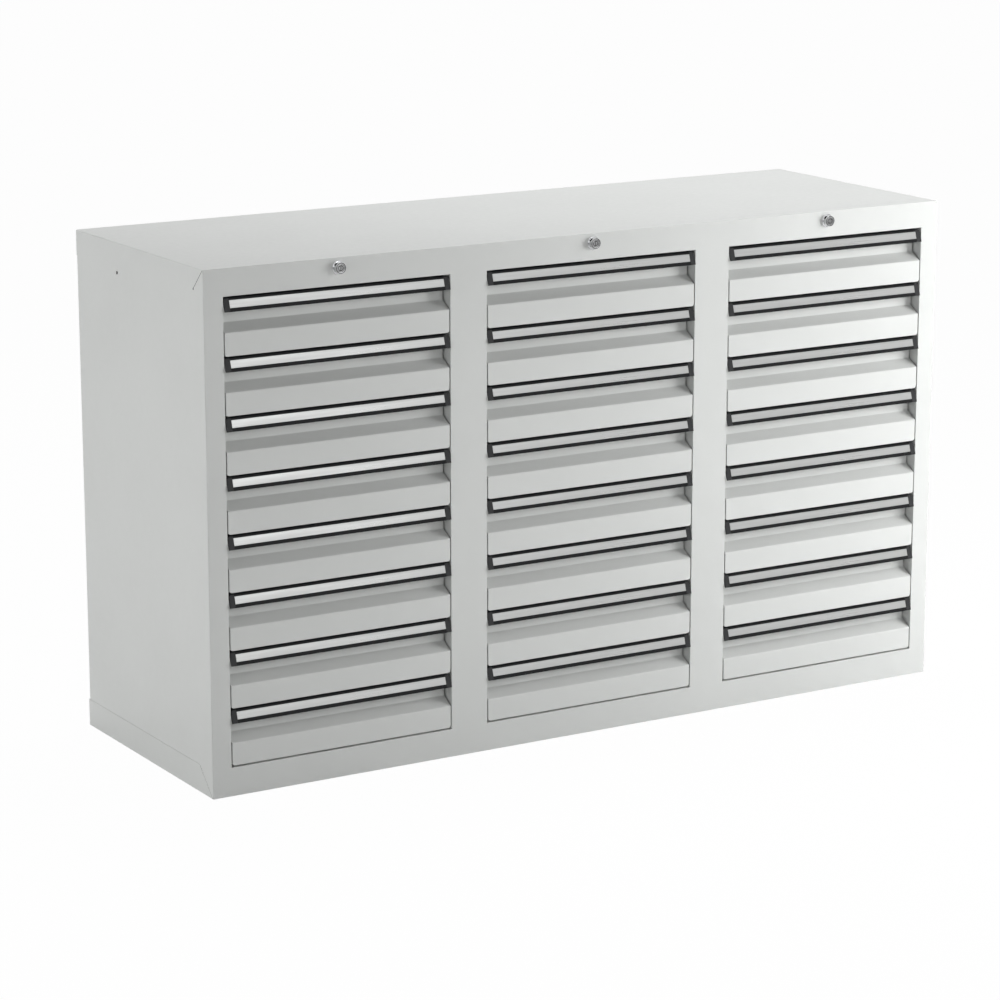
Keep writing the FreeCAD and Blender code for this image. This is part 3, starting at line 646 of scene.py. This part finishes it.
def drawer_front():
    """The pressed front: a flat band with returned edges, a slope into the recess, and a ledge on top."""
    shape = Shape()
    seam, edge_rear, ledge_front, slope_bend, ledge_bend = 36.5, 12, 8, 3, 1.2
    wall = rounded(((-HALF_FRONT, seam, 0), (-HALF_FRONT, 0, FRONT_CORNER), (HALF_FRONT, 0, FRONT_CORNER),
                    (HALF_FRONT, seam, 0)), closed=False, steps=6)
    shape.face([(x, 0, z) for x, z in wall], (0, -1, 0))
    for (x1, z1), (x2, z2) in zip(wall, wall[1:]):
        shape.face(((x1, 0, z1), (x2, 0, z2), (x2, edge_rear, z2), (x1, edge_rear, z1)),
                   (z2 - z1, 0, x1 - x2))
    path = rounded(((0, seam, 0), (0, FLAT_TOP, slope_bend), (RECESS, RECESS_START, slope_bend),
                    (RECESS, LEDGE, ledge_bend), (ledge_front, LEDGE, 0)), closed=False, steps=5)
    for (y1, z1), (y2, z2) in zip(path, path[1:]):
        shape.face(((-HALF_FRONT, y1, z1), (HALF_FRONT, y1, z1), (HALF_FRONT, y2, z2), (-HALF_FRONT, y2, z2)),
                   (0, z1 - z2, y2 - y1))

    def is_edge(first, second):
        beside = min(abs(first.x), abs(second.x)) > HALF_FRONT - FRONT_CORNER - TOUCH
        under_seam = max(first.z, second.z) <= seam and first.z + second.z < 2 * seam
        return first.y == second.y == 0 and (beside or first.z == second.z == 0) and under_seam

    shape.fold(is_edge, FRONT_EDGE, 3)
    return shape.thick(FRONT_SHEET).mesh("drawer_front")


def drawer_tray():
    """The box behind the front: a floor and sides from one sheet, with a lip on each side, and two walls."""
    shape = Shape()
    lip_bend, floor_bend, wall_gap = 0.8, 2, 0.1
    left = [(-LIP_REACH, TRAY_LIP, 0), (-TRAY_HALF, TRAY_LIP, lip_bend), (-TRAY_HALF, TRAY_LOW, floor_bend)]
    right = [(-across, up, bend) for across, up, bend in left[::-1]]
    path = rounded(left + right, closed=False)
    shape.strip(path[::-1], TRAY_SHEET, TRAY_FRONT, TRAY_REAR, along_y)
    half, low = TRAY_HALF - TRAY_SHEET - wall_gap, TRAY_LOW + TRAY_SHEET - wall_gap
    for front in (TRAY_FRONT, TRAY_REAR - TRAY_SHEET):
        shape.slab((-half, half), (front, front + TRAY_SHEET), (low, TRAY_HIGH))
    return shape.mesh("drawer_tray")


def wheel(shape, side, low, high, depth, height, radius):
    """A nylon roller on a riveted stub; side is 1 on the right and -1 on the left."""
    bore, hub, web, rim = 1.5, 5, 0.6, 1
    profile = rounded(((bore, low, 0), (hub, low, 0), (hub, low + web, 0.2), (radius - rim, low + web, 0.2),
                       (radius - 0.6, low, 0.4), (radius, low + 0.7, 0.5), (radius, high - 0.7, 0.5),
                       (radius - 0.6, high, 0.4), (radius - rim, high - web, 0.2), (hub, high - web, 0.2),
                       (hub, high, 0), (bore, high, 0)), closed=False, steps=2)
    shape.lathe([(size, side * place) for size, place in profile], (depth, height), along_x, 36)


def drawer_gear():
    """The drawer's runners with their rear rollers, and the catch for the lock bar's hook."""
    shape = Shape()
    angle = rounded(((TRAY_HALF, RUNNER_LOW, 0), (TRAY_HALF, RUNNER_HIGH, 1.6),
                     (RUNNER_REACH, RUNNER_HIGH, 0)), closed=False)
    web = [(TRAY_HALF, RUNNER_LOW), (TRAY_HALF, RUNNER_HIGH)]
    stub = ((0, 202), (STUB, 202), (STUB, 210.6), (2.4, 211), (0, 211))
    for side in (1, -1):
        for path, start, end in ((angle, RUNNER_FRONT, FLANGE_REAR), (web, FLANGE_REAR, TRAY_REAR)):
            shape.strip([(side * across, up) for across, up in path], side * SHELL, start, end, along_y)
        shape.lathe([(radius, side * place) for radius, place in stub],
                    (REAR_WHEEL_DEPTH, REAR_WHEEL_HEIGHT), along_x, 24)
        wheel(shape, side, REAR_WHEEL_INNER, REAR_WHEEL_OUTER,
              REAR_WHEEL_DEPTH, REAR_WHEEL_HEIGHT, REAR_WHEEL)
    plate, plate_top, arm, arm_end, hook_low = TRAY_REAR + SHELL, 72, 61.2, 475, 47
    catch = rounded(((plate, plate_top, 0), (plate, arm, 0.8), (arm_end, arm, 2), (arm_end, hook_low, 0)),
                    closed=False)
    shape.strip(catch, SHELL, -CATCH_HALF, CATCH_HALF)
    made = shape.mesh("drawer_gear")
    made.materials.append(zinc)
    made.materials.append(nylon)
    slack = 0.1
    for face in made.polygons:
        centre = face.center / MM
        reach = math.hypot(centre.y - REAR_WHEEL_DEPTH, centre.z - REAR_WHEEL_HEIGHT)
        beside = REAR_WHEEL_INNER - slack < abs(centre.x) < REAR_WHEEL_OUTER + slack
        face.material_index = int(beside and STUB + slack < reach < REAR_WHEEL + 5 * slack)
    return made


# Handles

def on_face(run, sink):
    """A point of the handle's section: a run up its tilted face and a depth under that face."""
    return (FACE_FRONT + run * math.sin(TILT) + sink * math.cos(TILT),
            LIP_BOTTOM + run * math.cos(TILT) - sink * math.sin(TILT))


def grip():
    """The section of the handle behind its face, from the top rim down to the lip."""
    rim, top, under, web, clip_top, clip_low, clip_rear = 6.44, 95.5, 93.1, 7.9, 91.9, 90.1, 14
    wall = FACE_FRONT + 2.6 / math.cos(TILT)
    clip = wall + (clip_low - LIP_BOTTOM) * math.tan(TILT)
    return [(rim, FRONT_TOP, 0.9), (rim, top, 0.3), (RECESS, top, 0.5), (RECESS, under, 0.3),
            (web, under, 0.2), (web, clip_top, 0.2), (clip_rear, clip_top, 0.4), (clip_rear, clip_low, 0.4),
            (clip, clip_low, 0.8), (wall, LIP_BOTTOM, 0.7)]


def handle_strip():
    """The black moulded strip with the channel for its label."""
    shape = Shape()
    low, high = LABEL_LOW - LABEL_PLAY, LABEL_HIGH + LABEL_PLAY
    channel = [(*on_face(low, 0), CHANNEL_EDGE), (*on_face(low, CHANNEL), 0),
               (*on_face(high, CHANNEL), 0), (*on_face(high, 0), CHANNEL_EDGE)]
    outline = rounded([(*on_face(0, 0), FACE_FOOT_CORNER), *channel,
                       (*on_face(FACE_RUN, 0), STRIP_TOP_CORNER), *grip()], steps=5)
    shape.prism(outline, STRIP_PLAY - STRIP_HALF, STRIP_HALF - STRIP_PLAY)
    return shape.mesh("handle_strip")


def handle_caps():
    """The plain moulded cap at each end of the strip, with its outer top corner rounded off."""
    shape = Shape()
    face_rear, rear_share = 5, 0.6
    outline = rounded([(*on_face(0, 0), FACE_FOOT_CORNER), (*on_face(FACE_RUN, 0), CAP_TOP_CORNER), *grip()],
                      steps=3)
    turn = [math.radians(angle) for angle in range(0, 91, 10)]
    places = [(STRIP_HALF + CAP_PLAY, 0)]
    places += [(CAP_END - CAP_CORNER * (1 - math.sin(angle)), CAP_CORNER * (1 - math.cos(angle)))
               for angle in turn]
    for side in (1, -1):
        shape.part()
        loops = []
        for place, drop in places:
            loop = []
            for depth, height in outline:
                in_face = depth < face_rear
                over = max(0, height - FRONT_TOP + drop * (1 if in_face else rear_share))
                loop.append((side * place, depth - over * math.tan(TILT) * in_face, height - over))
            loops.append(loop)
        shape.skin(loops)
        shape.face(loops[0])
        shape.face(loops[-1])
    return shape.mesh("handle_caps")


def handle_label():
    """The thin metal label that lies in the strip's channel."""
    shape = Shape()
    outline = rounded([(*on_face(LABEL_LOW, LABEL_SINK), LABEL_CORNER),
                       (*on_face(LABEL_HIGH, LABEL_SINK), LABEL_CORNER),
                       (*on_face(LABEL_HIGH, CHANNEL), 0), (*on_face(LABEL_LOW, CHANNEL), 0)], steps=2)
    shape.prism(outline, LABEL_END_PLAY - STRIP_HALF, STRIP_HALF - LABEL_END_PLAY)
    return shape.mesh("handle_label")


# Assembly

def column_place(column):
    """The middle of a column, from the cabinet's middle."""
    return (column - (COLUMNS - 1) / 2) * COLUMN_PITCH


piece("front_frame_sheet", front_frame_sheet(), paint, "carcass", ["front_frame"])
piece("wrapper_sheet", wrapper_sheet(), paint, "carcass", ["body_wrapper"])
piece("base_sheet", base_sheet(), paint, "carcass", ["base_pan"])

housing_mesh, nut_mesh, plug_mesh = lock_housing(), lock_nut(), lock_plug()
for column in range(COLUMNS):
    number, x = column + 1, column_place(column)
    piece(f"lock_housing_{number}", housing_mesh, chrome, "carcass", ["front_frame"], 0.1, x)
    piece(f"lock_nut_{number}", nut_mesh, zinc, "carcass", ["front_frame"], 0.3, x)
    piece(f"lock_plug_{number}", plug_mesh, nickel, f"lock_barrel_{number}_body",
          [f"lock_barrel_{number}"], 0.1, x)

front_mesh, tray_mesh, gear_mesh = drawer_front(), drawer_tray(), drawer_gear()
strip_mesh, caps_mesh, label_mesh = handle_strip(), handle_caps(), handle_label()
for column in range(COLUMNS):
    for row in range(ROWS):
        tag = f"c{column + 1}_r{row + 1}"
        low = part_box(f"drawer_{tag}")[0]
        x, z = column_place(column), low.z / MM
        body = f"drawer_{tag}_body"
        drawer, handle = [f"drawer_{tag}"], [f"handle_{tag}"]
        piece(f"drawer_front_{tag}", front_mesh, paint, body, drawer, 0.2, x, z)
        piece(f"drawer_tray_{tag}", tray_mesh, paint, body, drawer, 0.2, x, z)
        piece(f"drawer_gear_{tag}", gear_mesh, zinc, body, drawer, 0.15, x, z)
        piece(f"handle_strip_{tag}", strip_mesh, plastic, body, handle, 0.1, x, z)
        piece(f"handle_caps_{tag}", caps_mesh, cap_plastic, body, handle, 0.25, x, z)
        piece(f"handle_label_{tag}", label_mesh, silver, body, handle, 0.08, x, z)

# CAD nodes that keep their shape
for name, look in (("partitions", paint), ("back_panel", paint), ("slide_rails", zinc),
                   ("lock_bar_1", zinc), ("lock_bar_2", zinc), ("lock_bar_3", zinc)):
    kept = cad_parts[name]
    kept.data.materials.clear()
    kept.data.materials.append(look)
    soften(kept, 0.2)

# The front rollers are solids of the rails' node.
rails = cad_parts["slide_rails"]
rails.data.materials.append(nylon)
rail_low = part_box("drawer_c1_r1")[0].z / MM
slack = 0.1
for face in rails.data.polygons:
    centre = face.center / MM
    across = abs((centre.x + COLUMN_PITCH / 2) % COLUMN_PITCH - COLUMN_PITCH / 2)
    height = (centre.z - rail_low) % ROW_PITCH
    reach = math.hypot(centre.y - FASCIA / MM - FRONT_WHEEL_DEPTH, height - FRONT_WHEEL_HEIGHT)
    beside = FRONT_WHEEL_INNER - slack < across < FRONT_WHEEL_OUTER + slack
    face.material_index = int(beside and STUB + slack < reach < FRONT_WHEEL + 2 * slack)


# Studio

def camera():
    """The photograph's viewpoint: in front of the left corner, looking slightly down."""
    data = bpy.data.cameras.new("camera")
    data.lens = 123.66
    data.sensor_width = 36
    data.clip_end = 200
    made = bpy.data.objects.new("camera", data)
    bpy.context.scene.collection.objects.link(made)
    made.location = (-3.1649, -5.2093, 1.8231)
    down, turned = 13.355, 30.952
    made.rotation_euler = (math.radians(90 - down), 0, -math.radians(turned))
    bpy.context.scene.camera = made


def softbox(name, place, target, size, energy, mirrored=False):
    """A rectangular area lamp aimed at a point. It either lights surfaces or is only mirrored in them."""
    data = bpy.data.lights.new(name, "AREA")
    data.shape = "RECTANGLE"
    data.size, data.size_y = size
    data.energy = energy
    made = bpy.data.objects.new(name, data)
    bpy.context.scene.collection.objects.link(made)
    made.location = place
    made.rotation_euler = (Vector(target) - Vector(place)).to_track_quat("-Z", "Y").to_euler()
    made.visible_glossy = mirrored
    made.visible_diffuse = not mirrored


def studio_world(ambient):
    """Even light for the object, and plain white wherever the surroundings are seen or mirrored."""
    world = bpy.data.worlds.new("studio")
    bpy.context.scene.world = world
    world.use_nodes = True
    tree = world.node_tree
    even = tree.nodes["Background"]
    even.inputs["Color"].default_value = (1, 1, 1, 1)
    even.inputs["Strength"].default_value = ambient
    white = tree.nodes.new("ShaderNodeBackground")
    white.inputs["Color"].default_value = (1, 1, 1, 1)
    white.inputs["Strength"].default_value = 1
    path = tree.nodes.new("ShaderNodeLightPath")
    seen = tree.nodes.new("ShaderNodeMath")
    seen.operation = "MAXIMUM"
    mix = tree.nodes.new("ShaderNodeMixShader")
    tree.links.new(path.outputs["Is Camera Ray"], seen.inputs[0])
    tree.links.new(path.outputs["Is Glossy Ray"], seen.inputs[1])
    tree.links.new(seen.outputs["Value"], mix.inputs["Fac"])
    tree.links.new(even.outputs["Background"], mix.inputs[1])
    tree.links.new(white.outputs["Background"], mix.inputs[2])
    tree.links.new(mix.outputs["Shader"], tree.nodes["World Output"].inputs["Surface"])


def floor():
    """A wide pale floor that the camera sees as nearly white, with the cabinet's shadow still on it."""
    shape = Shape()
    reach, camera_share = 60000, 0.98
    shape.face(((-reach, -reach, 0), (reach, -reach, 0), (reach, reach, 0), (-reach, reach, 0)), (0, 0, 1))
    made = bpy.data.objects.new("floor", shape.mesh("floor", closed=False))
    bpy.context.scene.collection.objects.link(made)
    material = plain("floor_white", (0.82, 0.82, 0.82), 0, 0.9)
    tree = material.node_tree
    glow = tree.nodes.new("ShaderNodeEmission")
    glow.inputs["Color"].default_value = (1, 1, 1, 1)
    glow.inputs["Strength"].default_value = 1
    path = tree.nodes.new("ShaderNodeLightPath")
    share = tree.nodes.new("ShaderNodeMath")
    share.operation = "MULTIPLY"
    share.inputs[1].default_value = camera_share
    mix = tree.nodes.new("ShaderNodeMixShader")
    tree.links.new(path.outputs["Is Camera Ray"], share.inputs[0])
    tree.links.new(share.outputs["Value"], mix.inputs["Fac"])
    tree.links.new(tree.nodes["Principled BSDF"].outputs["BSDF"], mix.inputs[1])
    tree.links.new(glow.outputs["Emission"], mix.inputs[2])
    tree.links.new(mix.outputs["Shader"], tree.nodes["Material Output"].inputs["Surface"])
    made.data.materials.append(material)


camera()
studio_world(ambient=0.06)
softbox("key", (1.9, -1.4, 1), (0.4, -0.25, 0.5), (1.3, 1.3), 47)
softbox("front", (0.6, -4.2, 1.9), (0.1, -0.25, 0.45), (1.6, 1.2), 30)
softbox("left_front", (-3.6, -1.4, 1.1), (-0.75, 0, 0.45), (1.6, 1.2), 21)
softbox("left", (-3.8, 0.6, 0.9), (-0.75, 0.1, 0.45), (1.6, 1.2), 49)
softbox("top", (0.7, 0.6, 3.4), (0.2, 0.05, 0.9), (2.4, 1.2), 69)
softbox("label", (0.91, -3.74, 1.82), (-0.5, -0.25, 0.45), (1, 0.8), 7, mirrored=True)
floor()
bpy.context.scene.view_settings.view_transform = "Standard"
